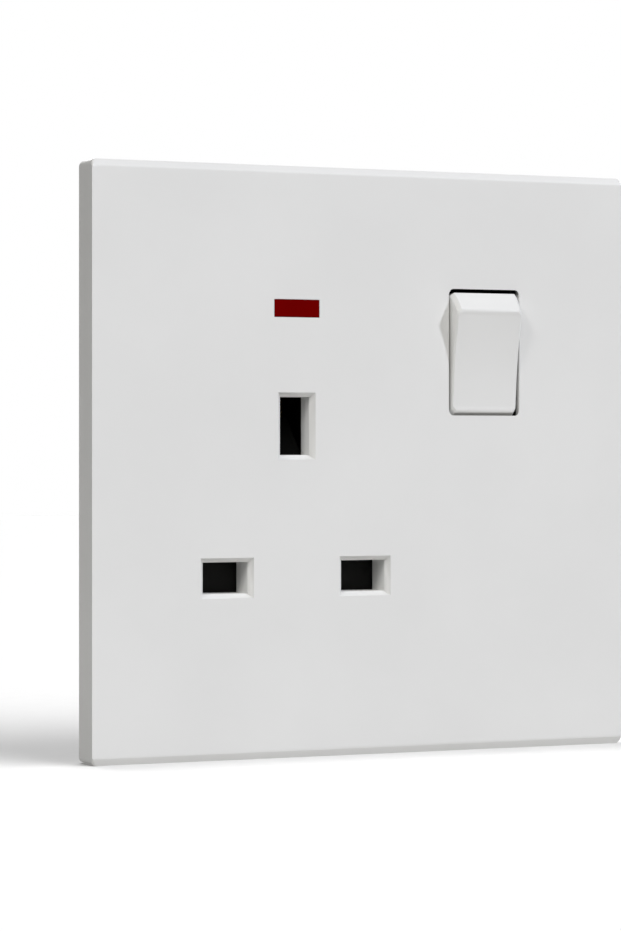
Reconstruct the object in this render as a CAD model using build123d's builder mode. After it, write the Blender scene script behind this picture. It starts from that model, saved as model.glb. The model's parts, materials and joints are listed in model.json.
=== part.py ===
from build123d import *
from math import asin, cos, hypot, radians, sin, sqrt
import os

# Switched 13 A socket outlet with a neon, built as its real pieces. Millimetres, X right seen from
# the front, Z up, the wall is the plane y = 0 and the front faces -Y.

# Driving sizes
PLATE = 87.0
PLATE_T = 5.6
FACE_T = 2.4
RIM_T = 2.0
CORNER_R = 0.9
FACE_CORNER_R = 0.3
EDGE_D = 0.6
EDGE_W = 1.0
WALL_GAP = 0.2
PIN_PITCH = 22.2
SOCKET_X = -11.4
ROW_Z = -16.95
FIX_PITCH = 60.3
FIT = 0.15
STRIP_T = 0.8
CLIP_GRIP = 1.75
CLIP_WIDE = 2.6
CLIP_LEAD = 2.1
CLIP_JAW = 3.0
CLIP_W = 6.5
EARTH_CLIP_W = 8.0
LIVE_MOUTH_Y = 4.2
EARTH_MOUTH_Y = 6.8

# Depths along Y, negative in front of the wall
FRONT_Y = -PLATE_T
FACE_BACK_Y = FRONT_Y + FACE_T
FLANGE_FRONT_Y = -2.6
FLANGE_STEP = 0.4
FLANGE_R = 1.0
FLANGE_BACK_Y = -FLANGE_STEP
HOUSING_DEPTH = 21.0
FLOOR_T = 2.0
FLOOR_Y = HOUSING_DEPTH - FLOOR_T

# Where things are on the face
NEUTRAL_X = SOCKET_X - PIN_PITCH / 2
LINE_X = SOCKET_X + PIN_PITCH / 2
EARTH_Z = ROW_Z + PIN_PITCH
SWITCH_X = 19.6
SWITCH_Z = 16.4
NEON_X = SOCKET_X
NEON_Z = 22.55

# Pin slots
SLOT_W = 7.1
SLOT_H = 4.6
EARTH_W = 4.7
EARTH_H = 8.55
SLOT_BEVEL = 0.65
SLOT_LEAD = 0.9
COLLAR_T = 1.0
SLOT_DEPTH = 5.0
EARTH_DEPTH = 3.8

# Rocker: the ends and the opening are cylinders about one pivot axis
PIVOT_Y = 2.5
ROCK_HALF = 8.1
ROCKER_W = 11.4
ROCKER_R = 12.07
ROCKER_GAP = 0.43
ROCKER_FACE = 15.3
ROCKER_DISH = 0.54
ROCKER_EDGE = 0.2
ROCKER_CORNER = 1.0
ROCKER_LIP = 10.0
ROCKER_LIP_D = 2.2
ROCKER_SKIRT = 8.3
ROCKER_SIDE = 0.3
ROCKER_WALL = 1.4
ROCKER_END_WALL = 1.8
ROCKER_FACE_T = 1.6
ROCKER_EAR_R = 3.0
SKIRT_END = 1.8
OPENING_W = ROCKER_W + 2 * ROCKER_SIDE
OPENING_R = ROCKER_R + ROCKER_GAP
OPENING_CORNER_R = 0.8
OPENING_LIP = 1.0
OPENING_RELIEF = 0.6
STUB_R = 1.5
STUB_FIT = 0.05
LUG_X = OPENING_W / 2
LUG_T = 2.0
LUG_R = 3.4
PIVOT = (SWITCH_X, PIVOT_Y, SWITCH_Z)

# Plunger, in the rocker's own depth measured back from the pivot
PLUNGER_R = 1.5
PLUNGER_BACK = -1.0
TUBE_R = 2.8
TUBE_END = 3.5
TUBE_FLOOR = 6.0
PLUNGER_FIT = 0.1
PLUNGER_TIP = 0.8
COIL_WIRE_R = 0.2
COIL_R = 1.15
COIL_TURNS = 3

# Neon, clips and fastenings
LENS_W = 7.2
LENS_H = 2.55
LENS_FIT = 0.05
LENS_LIP = 1.0
LENS_STEP = 0.4
HOOK_PITCH = 40.0
HOOK_W = 7.0
HOOK_D = 0.75
HOOK_T = 0.9
EYELET_R = 3.0
FIX_HOLE_R = 2.0
STRAP_SIDE = 6.1
STRAP_X = SOCKET_X - STRAP_SIDE
STRAP_W = 6.0
STRAP_T = 0.4
STRAP_RING_R = 4.6
STRAP_END_Y = 16.0
RIB_T = 1.2
SWITCH_RIB_X = SWITCH_X - LUG_X - LUG_T - ROCKER_SIDE - RIB_T / 2
SWITCH_RIB_DROP = 4.0
CELL_HALF = 5.1
CELL_RISE = 7.75
CELL_TOP_Z = ROW_Z + CELL_RISE
EARTH_CELL_W = 15.6
EARTH_CELL_DROP = 2.5
EARTH_CELL_TOP_Z = NEON_Z - EARTH_CELL_DROP
SCREW_R = 1.3
SCREW_HEAD_R = 2.2
SCREW_HEAD_T = 1.8
SCREW_CROSS = 0.6
SCREW_SINK = 0.4
SCREW_SEAT_Y = FLOOR_Y - SCREW_SINK
SCREW_BITE = 7.0
SCREW_TIP_GAP = 0.6
SCREW_FIT = 0.2

# See-saw contact
PLUNGER_REACH = 7.8
SEESAW_GAP = 0.2
SEESAW_SEAT = 0.03
SEESAW_TILT = 5.0
SEESAW_ARM = 8.5
SEESAW_W = 5.0
RIVET_ARM = 7.0
RIVET_R = 1.6
RIVET_T = 0.6
RIVET_PAD = 2.0
RIVET_GAP = 0.1
RIDGE_R = 0.8
SEESAW_FRONT_Y = PIVOT_Y + PLUNGER_REACH + SEESAW_GAP
RIDGE_Y = SEESAW_FRONT_Y + STRIP_T + SEESAW_SEAT + RIDGE_R

# Housing
HOUSING = 64.0
HOUSING_WALL = 2.0
HOUSING_R = 3.0
HOUSING_IN_R = 1.5
INSIDE = HOUSING - 2 * HOUSING_WALL
LUG_NOTCH_X = 25.6
LUG_NOTCH_H = 8.0
LUG_NOTCH_D = 10.0
POST_R = 2.3
BOSS_R = 3.2
POST_END_Y = 11.0
POSTS = [(-27.0, 27.0), (27.3, -8.0)]

# Terminals
BLOCK_W = 8.0
BLOCK_H = 7.0
BLOCK_D = 8.0
BLOCK_GAP = 0.4
WIRE_R = 2.3
WIRE_DEPTH = 3.2
WIRE_Y = FLOOR_Y - STRIP_T - BLOCK_D + WIRE_DEPTH
TERM_Z = INSIDE / 2 - BLOCK_GAP - BLOCK_H / 2
LINE_TERM_X = 22.5
TERMS = [(NEUTRAL_X, -TERM_Z), (LINE_TERM_X, -TERM_Z), (SOCKET_X, TERM_Z)]
TERM_SCREW_R = 1.7
TERM_HEAD_R = 2.6
TERM_HEAD_T = 1.6
TERM_SLOT = 0.8
TERM_HEAD_GAP = 0.1
TERM_SEAT_Y = FLOOR_Y + TERM_HEAD_GAP
TERM_TIP_GAP = 0.2
TAIL_HOLE_FIT = 0.4
THREAD_FIT = 0.05
TAIL_W = 5.0
WIRE_CLEAR = 0.5

# Shutter
SHUTTER_GAP = 0.3
SHUTTER_Y = FLANGE_BACK_Y + SHUTTER_GAP
SHUTTER_T = 1.6
SHUTTER_TRAVEL = 5.8
SHUTTER_COVER = 2.3
SHUTTER_W = PIN_PITCH + SLOT_W + SHUTTER_COVER
SHUTTER_H = 6.5
SHUTTER_TOP_Z = ROW_Z + SHUTTER_H / 2
STEM_W = 5.2
RAMP_FIT = 0.2
RAMP_Y = FRONT_Y + EARTH_DEPTH + RAMP_FIT
RAMP_LOW_Z = EARTH_Z - EARTH_H / 2 - RAMP_FIT / 2
RAMP_LIP = 0.8
RAMP_T = 1.4
RAMP_FOOT = 4.0
RAMP_DROP_Z = RAMP_LOW_Z - RAMP_LIP - SHUTTER_TRAVEL - RAMP_FIT
RAIL_X = SHUTTER_W / 2 + SHUTTER_GAP
RAIL_T = 1.0
RAIL_RISE = 1.7
RAIL_GAP = 0.2
RAIL_LAP = 0.9
RAIL_TOP_Z = SHUTTER_TOP_Z + RAIL_RISE
RAIL_LOW_Z = -INSIDE / 2 + RAIL_GAP
RAIL_END_Y = SHUTTER_Y + SHUTTER_T + RAIL_LAP
SPRING_WIRE_R = 0.15
SPRING_COIL_R = 0.75
SPRING_TURNS = 4

# Neon lamp, resistor and the line bar that feeds them
LAMP_R = 2.0
LAMP_L = 11.0
LAMP_TIP = 1.0
LAMP_GAP = 0.6
LAMP_Y = FLANGE_BACK_Y + LAMP_R + LAMP_GAP
CRADLE_X = 4.4
CRADLE_T = 1.0
LEAD_R = 0.3
LEAD_BEND_R = 1.0
LEAD_LOW = 5.0
LEAD_BACK_Y = 14.0
RESISTOR_SIDE = 9.6
RESISTOR_X = NEON_X - RESISTOR_SIDE
RESISTOR_R = 1.2
RESISTOR_LOW_Z = 8.0
RESISTOR_TOP_Z = 15.0
BAR_W = 3.0
BAR_GAP = 0.2
BAR_X = SWITCH_RIB_X - RIB_T / 2 - BAR_GAP - BAR_W / 2

os.makedirs("parts", exist_ok=True)


def depth(y):
    # A sketch plane facing the viewer at this depth: local x is X and local y is Z.
    return Plane.XZ.offset(-y)


def turned(x, angle):
    # A plane across X through the rocker's pivot, turned about it: local x is back, local y is up.
    back = (0, cos(radians(angle)), sin(radians(angle)))
    return Plane(origin=(SWITCH_X + x, PIVOT_Y, SWITCH_Z), x_dir=back, z_dir=(1, 0, 0))


def pivot_reach(point):
    # How far a point lies from the rocker's pivot axis.
    return hypot(point.Y - PIVOT_Y, point.Z - SWITCH_Z)


def clip_path(mouth, base):
    # Half of a pin clip's inside, from its flared mouth to its base: how deep, then how far off centre.
    jaw = mouth + CLIP_LEAD
    end = jaw + CLIP_JAW
    return [(mouth, CLIP_WIDE), (jaw, CLIP_GRIP), (end, CLIP_GRIP), (end + CLIP_LEAD, CLIP_WIDE), (base, CLIP_WIDE)]


def strip(points, thick):
    # The outline of a bent strip: its path, then the path moved to its left by the thickness.
    path = [Vector(*point) for point in points]
    runs = [(b - a).normalized() for a, b in zip(path, path[1:])]
    normals = [Vector(-run.Y, run.X) for run in runs]
    moved = []
    for i, point in enumerate(path):
        first = normals[max(i - 1, 0)]
        second = normals[min(i, len(normals) - 1)]
        moved.append(point + (first + second) * (thick / (1 + first.dot(second))))
    return path + moved[::-1]


# Front plate: a hollow clip-on cover, bevelled along its top and bottom, whose pin slots run back in collars
with BuildPart() as front_plate:
    with BuildSketch(depth(-WALL_GAP)):
        RectangleRounded(PLATE, PLATE, CORNER_R)
    extrude(amount=PLATE_T - WALL_GAP - EDGE_D)
    with BuildSketch(depth(FRONT_Y + EDGE_D)):
        RectangleRounded(PLATE, PLATE, CORNER_R)
    with BuildSketch(depth(FRONT_Y)):
        RectangleRounded(PLATE, PLATE - 2 * EDGE_W, FACE_CORNER_R)
    loft()
    with BuildSketch(depth(-WALL_GAP)):
        Rectangle(PLATE - 2 * RIM_T, PLATE - 2 * RIM_T)
    extrude(amount=-FACE_BACK_Y - WALL_GAP, mode=Mode.SUBTRACT)
    with BuildSketch(depth(FRONT_Y + SLOT_DEPTH)):
        with Locations((NEUTRAL_X, ROW_Z), (LINE_X, ROW_Z)):
            Rectangle(SLOT_W + 2 * COLLAR_T, SLOT_H + 2 * COLLAR_T)
    extrude(amount=SLOT_DEPTH - FACE_T)
    with BuildSketch(depth(FRONT_Y + EARTH_DEPTH)):
        with Locations((SOCKET_X, EARTH_Z)):
            Rectangle(EARTH_W + 2 * COLLAR_T, EARTH_H + 2 * COLLAR_T)
    extrude(amount=EARTH_DEPTH - FACE_T)
    with BuildSketch(depth(FLANGE_FRONT_Y)):
        with GridLocations(FIX_PITCH + 2 * STRAP_RING_R + 2 * RIB_T, 0, 2, 1):
            Rectangle(RIB_T, HOUSING)
        with GridLocations(0, HOUSING + 2 * RIB_T, 1, 2):
            Rectangle(HOOK_PITCH, RIB_T)
    extrude(amount=FLANGE_FRONT_Y - FACE_BACK_Y)
    with BuildSketch(depth(0)):
        with Locations((NEUTRAL_X, ROW_Z), (LINE_X, ROW_Z)):
            Rectangle(SLOT_W, SLOT_H)
        with Locations((SOCKET_X, EARTH_Z)):
            Rectangle(EARTH_W, EARTH_H)
    extrude(amount=PLATE_T, mode=Mode.SUBTRACT)
    face = front_plate.faces().filter_by(Axis.Y).sort_by(Axis.Y)[0]
    chamfer(face.inner_wires().edges(), length=SLOT_BEVEL, length2=SLOT_LEAD, reference=face)
    with BuildSketch(depth(0)):
        with Locations((NEON_X, NEON_Z)):
            Rectangle(LENS_W + 2 * LENS_FIT, LENS_H + 2 * LENS_FIT)
    extrude(amount=PLATE_T, mode=Mode.SUBTRACT)
    with BuildSketch(Plane(origin=PIVOT, x_dir=(1, 0, 0), z_dir=(0, 0, 1))):
        RectangleRounded(OPENING_W, 2 * OPENING_R, OPENING_CORNER_R)
        with Locations((0, -OPENING_R / 2)):
            Rectangle(OPENING_W, OPENING_R, mode=Mode.INTERSECT)
    revolve(axis=Axis(PIVOT, (1, 0, 0)), mode=Mode.SUBTRACT)
    with BuildSketch(depth(FACE_BACK_Y)):
        with Locations((SWITCH_X, SWITCH_Z)):
            Rectangle(OPENING_W + 2 * OPENING_RELIEF, 2 * OPENING_R)
    extrude(amount=FACE_T - OPENING_LIP, mode=Mode.SUBTRACT)
    with BuildSketch(depth(-WALL_GAP)):
        with GridLocations(HOOK_PITCH, PLATE - 2 * RIM_T - HOOK_T, 2, 2):
            Rectangle(HOOK_W, HOOK_T)
    extrude(amount=HOOK_D)
front_plate.part.label = "front_plate"
export_step(front_plate.part, "parts/front_plate.step")

# Neon lens: a red light pipe held between the plate and the frame
with BuildPart() as neon_lens:
    with BuildSketch(depth(FACE_BACK_Y)):
        with Locations((NEON_X, NEON_Z)):
            Rectangle(LENS_W, LENS_H)
    extrude(amount=FACE_T)
    with BuildSketch(depth(FLANGE_FRONT_Y)):
        with Locations((NEON_X, NEON_Z)):
            Rectangle(LENS_W + 2 * LENS_LIP, LENS_H + 2 * LENS_LIP)
    extrude(amount=FLANGE_FRONT_Y - FACE_BACK_Y)
    with BuildSketch(depth(FLANGE_BACK_Y)):
        with Locations((NEON_X, NEON_Z)):
            Rectangle(LENS_W - 2 * LENS_STEP, LENS_H - LENS_STEP)
    extrude(amount=FLANGE_BACK_Y - FLANGE_FRONT_Y)
neon_lens.part.label = "neon_lens"
export_step(neon_lens.part, "parts/neon_lens.step")

# Mounting frame: the flange that is screwed to the wall box, with the rocker's bearings on its back
FLANGE = PLATE - 2 * RIM_T - 4 * FIT
with BuildPart() as mounting_frame:
    with BuildSketch(depth(0)):
        RectangleRounded(FLANGE, FLANGE, FLANGE_R)
    extrude(amount=-FLANGE_FRONT_Y)
    with BuildSketch(depth(0)):
        RectangleRounded(HOUSING + 2 * FIT, HOUSING + 2 * FIT, HOUSING_R)
        with GridLocations(2 * (LUG_NOTCH_X + FIT) + LUG_NOTCH_D, 0, 2, 1):
            Rectangle(LUG_NOTCH_D, LUG_NOTCH_H - 2 * FIT, mode=Mode.SUBTRACT)
    extrude(amount=FLANGE_STEP, mode=Mode.SUBTRACT)
    with BuildSketch(depth(0)):
        with Locations((NEUTRAL_X, ROW_Z), (LINE_X, ROW_Z)):
            Rectangle(SLOT_W + 2 * COLLAR_T + 2 * FIT, SLOT_H + 2 * COLLAR_T + 2 * FIT)
        with Locations((SOCKET_X, EARTH_Z)):
            Rectangle(EARTH_W + 2 * COLLAR_T + 2 * FIT, EARTH_H + 2 * COLLAR_T + 2 * FIT)
        with Locations((SOCKET_X, (EARTH_Z + RAMP_DROP_Z) / 2)):
            Rectangle(STEM_W + 2 * RAMP_FIT, EARTH_Z - RAMP_DROP_Z)
        with Locations((SWITCH_X, SWITCH_Z)):
            Rectangle(OPENING_W, 2 * (OPENING_R + FIT))
        with Locations((NEON_X, NEON_Z)):
            Rectangle(LENS_W - LENS_STEP, LENS_H)
        with Locations((STRAP_X, 0)):
            Rectangle(STRAP_T + 2 * FIT, STRAP_W + 2 * FIT)
        with GridLocations(FIX_PITCH, 0, 2, 1):
            Circle(EYELET_R)
    extrude(amount=-FLANGE_FRONT_Y, mode=Mode.SUBTRACT)
    with BuildSketch(depth(0)):
        with GridLocations(HOOK_PITCH, FLANGE, 2, 2):
            Rectangle(HOOK_W + 4 * FIT, 2 * (HOOK_T + 2 * FIT))
    extrude(amount=HOOK_D + WALL_GAP + FIT, mode=Mode.SUBTRACT)
    with BuildSketch(depth(POST_END_Y)):
        with Locations(*POSTS):
            Circle(POST_R)
    extrude(amount=POST_END_Y - FLANGE_BACK_Y)
    with BuildSketch(depth(POST_END_Y)):
        with Locations(*POSTS):
            Circle(SCREW_R + THREAD_FIT)
    extrude(amount=SCREW_BITE + SCREW_TIP_GAP, mode=Mode.SUBTRACT)
    for side in (-1, 1):
        with BuildSketch(depth(PIVOT_Y)):
            with Locations((SWITCH_X + side * (LUG_X + LUG_T / 2), SWITCH_Z)):
                Rectangle(LUG_T, 2 * LUG_R)
        extrude(amount=PIVOT_Y - FLANGE_BACK_Y)
        with BuildSketch(turned(side * (LUG_X + LUG_T / 2), 0)):
            Circle(LUG_R)
        extrude(amount=LUG_T / 2, both=True)
        with BuildSketch(depth(RAIL_END_Y)):
            with Locations((SOCKET_X + side * (RAIL_X + RAIL_T / 2), (RAIL_TOP_Z + RAIL_LOW_Z) / 2)):
                Rectangle(RAIL_T, RAIL_TOP_Z - RAIL_LOW_Z)
        extrude(amount=RAIL_END_Y - FLANGE_BACK_Y)
        with BuildSketch(depth(LAMP_Y)):
            with Locations((NEON_X + side * CRADLE_X, NEON_Z)):
                Rectangle(CRADLE_T, 2 * (LAMP_R + CRADLE_T))
        extrude(amount=LAMP_Y - FLANGE_BACK_Y)
    with BuildSketch(turned(0, 0)):
        Circle(STUB_R + STUB_FIT)
    extrude(amount=LUG_X + 2 * LUG_T, both=True, mode=Mode.SUBTRACT)
    with BuildSketch(Plane.YZ.offset(NEON_X)):
        with Locations((LAMP_Y, NEON_Z)):
            Circle(LAMP_R)
    extrude(amount=LAMP_L, both=True, mode=Mode.SUBTRACT)
mounting_frame.part.label = "mounting_frame"
export_step(mounting_frame.part, "parts/mounting_frame.step")

# Rear housing: the box in the wall, notched for the wall box's lugs, with walls between the live parts
with BuildPart() as rear_housing:
    with BuildSketch(depth(HOUSING_DEPTH)):
        RectangleRounded(HOUSING, HOUSING, HOUSING_R)
        with GridLocations(2 * LUG_NOTCH_X + LUG_NOTCH_D, 0, 2, 1):
            Rectangle(LUG_NOTCH_D, LUG_NOTCH_H, mode=Mode.SUBTRACT)
    extrude(amount=HOUSING_DEPTH - FLANGE_BACK_Y)
    with BuildSketch(depth(FLOOR_Y)):
        RectangleRounded(INSIDE, INSIDE, HOUSING_IN_R)
        with GridLocations(2 * (LUG_NOTCH_X - RIB_T) + LUG_NOTCH_D, 0, 2, 1):
            Rectangle(LUG_NOTCH_D, LUG_NOTCH_H + 2 * RIB_T, mode=Mode.SUBTRACT)
    extrude(amount=FLOOR_Y - FLANGE_BACK_Y, mode=Mode.SUBTRACT)
    with BuildSketch(depth(FLOOR_Y)):
        with Locations(*POSTS):
            Circle(BOSS_R)
    extrude(amount=FLOOR_Y - POST_END_Y)
    with BuildSketch(depth(FLOOR_Y)):
        with Locations((SOCKET_X - CELL_HALF, (CELL_TOP_Z - INSIDE / 2) / 2)):
            Rectangle(RIB_T, CELL_TOP_Z + INSIDE / 2)
        with Locations((SOCKET_X + CELL_HALF, (CELL_TOP_Z - INSIDE / 2) / 2)):
            Rectangle(RIB_T, CELL_TOP_Z + INSIDE / 2)
        with Locations((SOCKET_X, CELL_TOP_Z - RIB_T / 2)):
            Rectangle(EARTH_CELL_W, RIB_T)
        with Locations((SOCKET_X + EARTH_CELL_W / 2, (CELL_TOP_Z + EARTH_CELL_TOP_Z) / 2)):
            Rectangle(RIB_T, EARTH_CELL_TOP_Z - CELL_TOP_Z + RIB_T)
        with Locations((SWITCH_RIB_X, SWITCH_Z - SWITCH_RIB_DROP)):
            Rectangle(RIB_T, 2 * SEESAW_ARM)
        with Locations((LINE_TERM_X - BLOCK_W, -TERM_Z + BLOCK_H)):
            Rectangle(RIB_T, 3 * BLOCK_H)
    extrude(amount=FLOOR_Y - RAIL_END_Y)
    with BuildSketch(depth(HOUSING_DEPTH)):
        with Locations(*POSTS):
            Circle(SCREW_R + SCREW_FIT)
    extrude(amount=HOUSING_DEPTH - POST_END_Y, mode=Mode.SUBTRACT)
    with BuildSketch(depth(HOUSING_DEPTH)):
        with Locations(*POSTS):
            Circle(SCREW_HEAD_R + SCREW_FIT)
        with Locations(*TERMS):
            Circle(TERM_HEAD_R + 2 * SCREW_FIT)
    extrude(amount=HOUSING_DEPTH - SCREW_SEAT_Y, mode=Mode.SUBTRACT)
    for x, z in TERMS:
        with BuildSketch(Plane.XY.offset(z)):
            with Locations((x, WIRE_Y)):
                Circle(WIRE_R + WIRE_CLEAR)
        extrude(amount=HOUSING / 2 if z > 0 else -HOUSING / 2, mode=Mode.SUBTRACT)
rear_housing.part.label = "rear_housing"
export_step(rear_housing.part, "parts/rear_housing.step")

# Housing screws: two, driven from the back into the frame's posts
with BuildPart() as housing_screws:
    with BuildSketch(depth(SCREW_SEAT_Y)):
        with Locations(*POSTS):
            Circle(SCREW_R)
    extrude(amount=SCREW_SEAT_Y - POST_END_Y + SCREW_BITE)
    with BuildSketch(depth(SCREW_SEAT_Y + SCREW_HEAD_T)):
        with Locations(*POSTS):
            Circle(SCREW_HEAD_R)
    extrude(amount=SCREW_HEAD_T)
    with BuildSketch(depth(SCREW_SEAT_Y + SCREW_HEAD_T)):
        with Locations(*POSTS):
            Rectangle(2 * SCREW_R, SCREW_CROSS)
            Rectangle(SCREW_CROSS, 2 * SCREW_R)
    extrude(amount=SCREW_HEAD_T / 2, mode=Mode.SUBTRACT)
housing_screws.part.label = "housing_screws"
export_step(housing_screws.part, "parts/housing_screws.step")

# Terminal blocks and their screws: brass, a wire bore across and a clamping screw from the back
for name, (x, z) in zip(("neutral_terminal", "line_terminal", "earth_terminal"), TERMS):
    with BuildPart() as terminal:
        with BuildSketch(depth(FLOOR_Y - STRIP_T)):
            with Locations((x, z)):
                Rectangle(BLOCK_W, BLOCK_H)
        extrude(amount=BLOCK_D)
        with BuildSketch(Plane.XY.offset(z - BLOCK_H)):
            with Locations((x, WIRE_Y)):
                Circle(WIRE_R)
        extrude(amount=2 * BLOCK_H, mode=Mode.SUBTRACT)
        with BuildSketch(depth(FLOOR_Y)):
            with Locations((x, z)):
                Circle(TERM_SCREW_R + THREAD_FIT)
        extrude(amount=FLOOR_Y - WIRE_Y, mode=Mode.SUBTRACT)
    terminal.part.label = name
    export_step(terminal.part, "parts/" + name + ".step")

with BuildPart() as terminal_screws:
    with BuildSketch(depth(TERM_SEAT_Y)):
        with Locations(*TERMS):
            Circle(TERM_SCREW_R)
    extrude(amount=TERM_SEAT_Y - WIRE_Y - WIRE_R - TERM_TIP_GAP)
    with BuildSketch(depth(TERM_SEAT_Y + TERM_HEAD_T)):
        with Locations(*TERMS):
            Circle(TERM_HEAD_R)
    extrude(amount=TERM_HEAD_T)
    with BuildSketch(depth(TERM_SEAT_Y + TERM_HEAD_T)):
        with Locations(*TERMS):
            Rectangle(2 * TERM_HEAD_R, TERM_SLOT)
    extrude(amount=TERM_HEAD_T / 2, mode=Mode.SUBTRACT)
terminal_screws.part.label = "terminal_screws"
export_step(terminal_screws.part, "parts/terminal_screws.step")

# Pin clips: bent brass strips whose jaws grip the pin's 4 mm thickness
CLIP_BASE_Y = FLOOR_Y - STRIP_T
for name, x in (("neutral_contact", NEUTRAL_X), ("line_contact", LINE_X)):
    with BuildPart() as contact:
        upper = [(y, ROW_Z + q) for y, q in clip_path(LIVE_MOUTH_Y, CLIP_BASE_Y)]
        lower = [(y, ROW_Z - q) for y, q in clip_path(LIVE_MOUTH_Y, CLIP_BASE_Y)]
        with BuildSketch(Plane.YZ.offset(x - CLIP_W / 2)):
            with BuildLine():
                Polyline(*strip(upper + lower[::-1], STRIP_T), close=True)
            make_face()
        extrude(amount=CLIP_W)
        if name == "neutral_contact":
            with BuildSketch(depth(FLOOR_Y)):
                with Locations((x, (ROW_Z - TERM_Z - BLOCK_H / 2) / 2)):
                    Rectangle(TAIL_W, TERM_Z + BLOCK_H / 2 + ROW_Z)
                with Locations((x, -TERM_Z)):
                    Circle(TERM_SCREW_R + TAIL_HOLE_FIT, mode=Mode.SUBTRACT)
            extrude(amount=STRIP_T)
    contact.part.label = name
    export_step(contact.part, "parts/" + name + ".step")

with BuildPart() as earth_contact:
    left = [(SOCKET_X - q, y) for y, q in clip_path(EARTH_MOUTH_Y, CLIP_BASE_Y)]
    right = [(SOCKET_X + q, y) for y, q in clip_path(EARTH_MOUTH_Y, CLIP_BASE_Y)]
    with BuildSketch(Plane.XY.offset(EARTH_Z - EARTH_CLIP_W / 2)):
        with BuildLine():
            Polyline(*strip(left + right[::-1], STRIP_T), close=True)
        make_face()
    extrude(amount=EARTH_CLIP_W)
    with BuildSketch(depth(FLOOR_Y)):
        with Locations((SOCKET_X, (EARTH_Z + TERM_Z + BLOCK_H / 2) / 2)):
            Rectangle(TAIL_W, TERM_Z + BLOCK_H / 2 - EARTH_Z)
        with Locations((SOCKET_X, TERM_Z)):
            Circle(TERM_SCREW_R + TAIL_HOLE_FIT, mode=Mode.SUBTRACT)
    extrude(amount=STRIP_T)
earth_contact.part.label = "earth_contact"
export_step(earth_contact.part, "parts/earth_contact.step")

# Earth strap and eyelets: bond the left fixing screw, and so a metal wall box, to the earth clip
EYELET_FRONT_Y = FLANGE_FRONT_Y - STRAP_T
EARTH_SIDE_X = SOCKET_X - CLIP_WIDE - STRIP_T
with BuildPart() as fixing_eyelets:
    with BuildSketch(depth(0)):
        with GridLocations(FIX_PITCH, 0, 2, 1):
            Circle(EYELET_R)
            Circle(FIX_HOLE_R, mode=Mode.SUBTRACT)
    extrude(amount=-EYELET_FRONT_Y)
fixing_eyelets.part.label = "fixing_eyelets"
export_step(fixing_eyelets.part, "parts/fixing_eyelets.step")

with BuildPart() as earth_strap:
    with BuildSketch(depth(FLANGE_FRONT_Y)):
        with Locations((-FIX_PITCH / 2, 0)):
            Circle(STRAP_RING_R)
        with Locations(((STRAP_X - STRAP_T / 2 - FIX_PITCH / 2 + STRAP_T) / 2, 0)):
            Rectangle(STRAP_X + FIX_PITCH / 2, STRAP_W)
        with Locations((-FIX_PITCH / 2, 0)):
            Circle(EYELET_R, mode=Mode.SUBTRACT)
    extrude(amount=STRAP_T)
    with BuildSketch(Plane.XY.offset(-STRAP_W / 2)):
        with Locations((STRAP_X, (STRAP_END_Y + EYELET_FRONT_Y) / 2)):
            Rectangle(STRAP_T, STRAP_END_Y - EYELET_FRONT_Y)
        with Locations(((STRAP_X - STRAP_T / 2 + EARTH_SIDE_X) / 2, STRAP_END_Y - STRAP_T / 2)):
            Rectangle(EARTH_SIDE_X - STRAP_X + STRAP_T / 2, STRAP_T)
    extrude(amount=STRAP_W)
earth_strap.part.label = "earth_strap"
export_step(earth_strap.part, "parts/earth_strap.step")

# Live side: the bar from the line clip, the fixed contact on it, and the fulcrum fed by the line terminal
RIVET_Z = SWITCH_Z + RIVET_ARM * cos(radians(SEESAW_TILT))
FIXED_Y = RIDGE_Y + (RIVET_ARM + RIVET_R) * sin(radians(SEESAW_TILT)) + RIVET_GAP + RIVET_T
with BuildPart() as line_bar:
    with BuildSketch(depth(FLOOR_Y)):
        with Locations(((LINE_X + CLIP_W / 2 + BAR_X) / 2, ROW_Z)):
            Rectangle(BAR_X - LINE_X - CLIP_W / 2, TAIL_W)
        with Locations((BAR_X, (RIVET_Z + ROW_Z + RIVET_PAD - TAIL_W / 2) / 2)):
            Rectangle(BAR_W, RIVET_Z - ROW_Z + RIVET_PAD + TAIL_W / 2)
        with Locations(((BAR_X + SWITCH_X + SEESAW_W / 2) / 2, RIVET_Z)):
            Rectangle(SWITCH_X + SEESAW_W / 2 - BAR_X, 2 * RIVET_PAD)
    extrude(amount=STRIP_T)
line_bar.part.label = "line_bar"
export_step(line_bar.part, "parts/line_bar.step")

with BuildPart() as fixed_contact:
    with BuildSketch(Plane.YZ.offset(SWITCH_X - SEESAW_W / 2)):
        with BuildLine():
            bracket = [
                (FIXED_Y + STRIP_T, RIVET_Z - RIVET_PAD),
                (FIXED_Y + STRIP_T, RIVET_Z + RIVET_PAD),
                (CLIP_BASE_Y - STRIP_T, RIVET_Z + RIVET_PAD),
                (CLIP_BASE_Y - STRIP_T, RIVET_Z - RIVET_PAD),
            ]
            Polyline(*strip(bracket, STRIP_T), close=True)
        make_face()
    extrude(amount=SEESAW_W)
fixed_contact.part.label = "fixed_contact"
export_step(fixed_contact.part, "parts/fixed_contact.step")

with BuildPart() as fixed_rivet:
    with BuildSketch(depth(FIXED_Y)):
        with Locations((SWITCH_X, RIVET_Z)):
            Circle(RIVET_R)
    extrude(amount=RIVET_T)
fixed_rivet.part.label = "fixed_rivet"
export_step(fixed_rivet.part, "parts/fixed_rivet.step")

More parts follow.
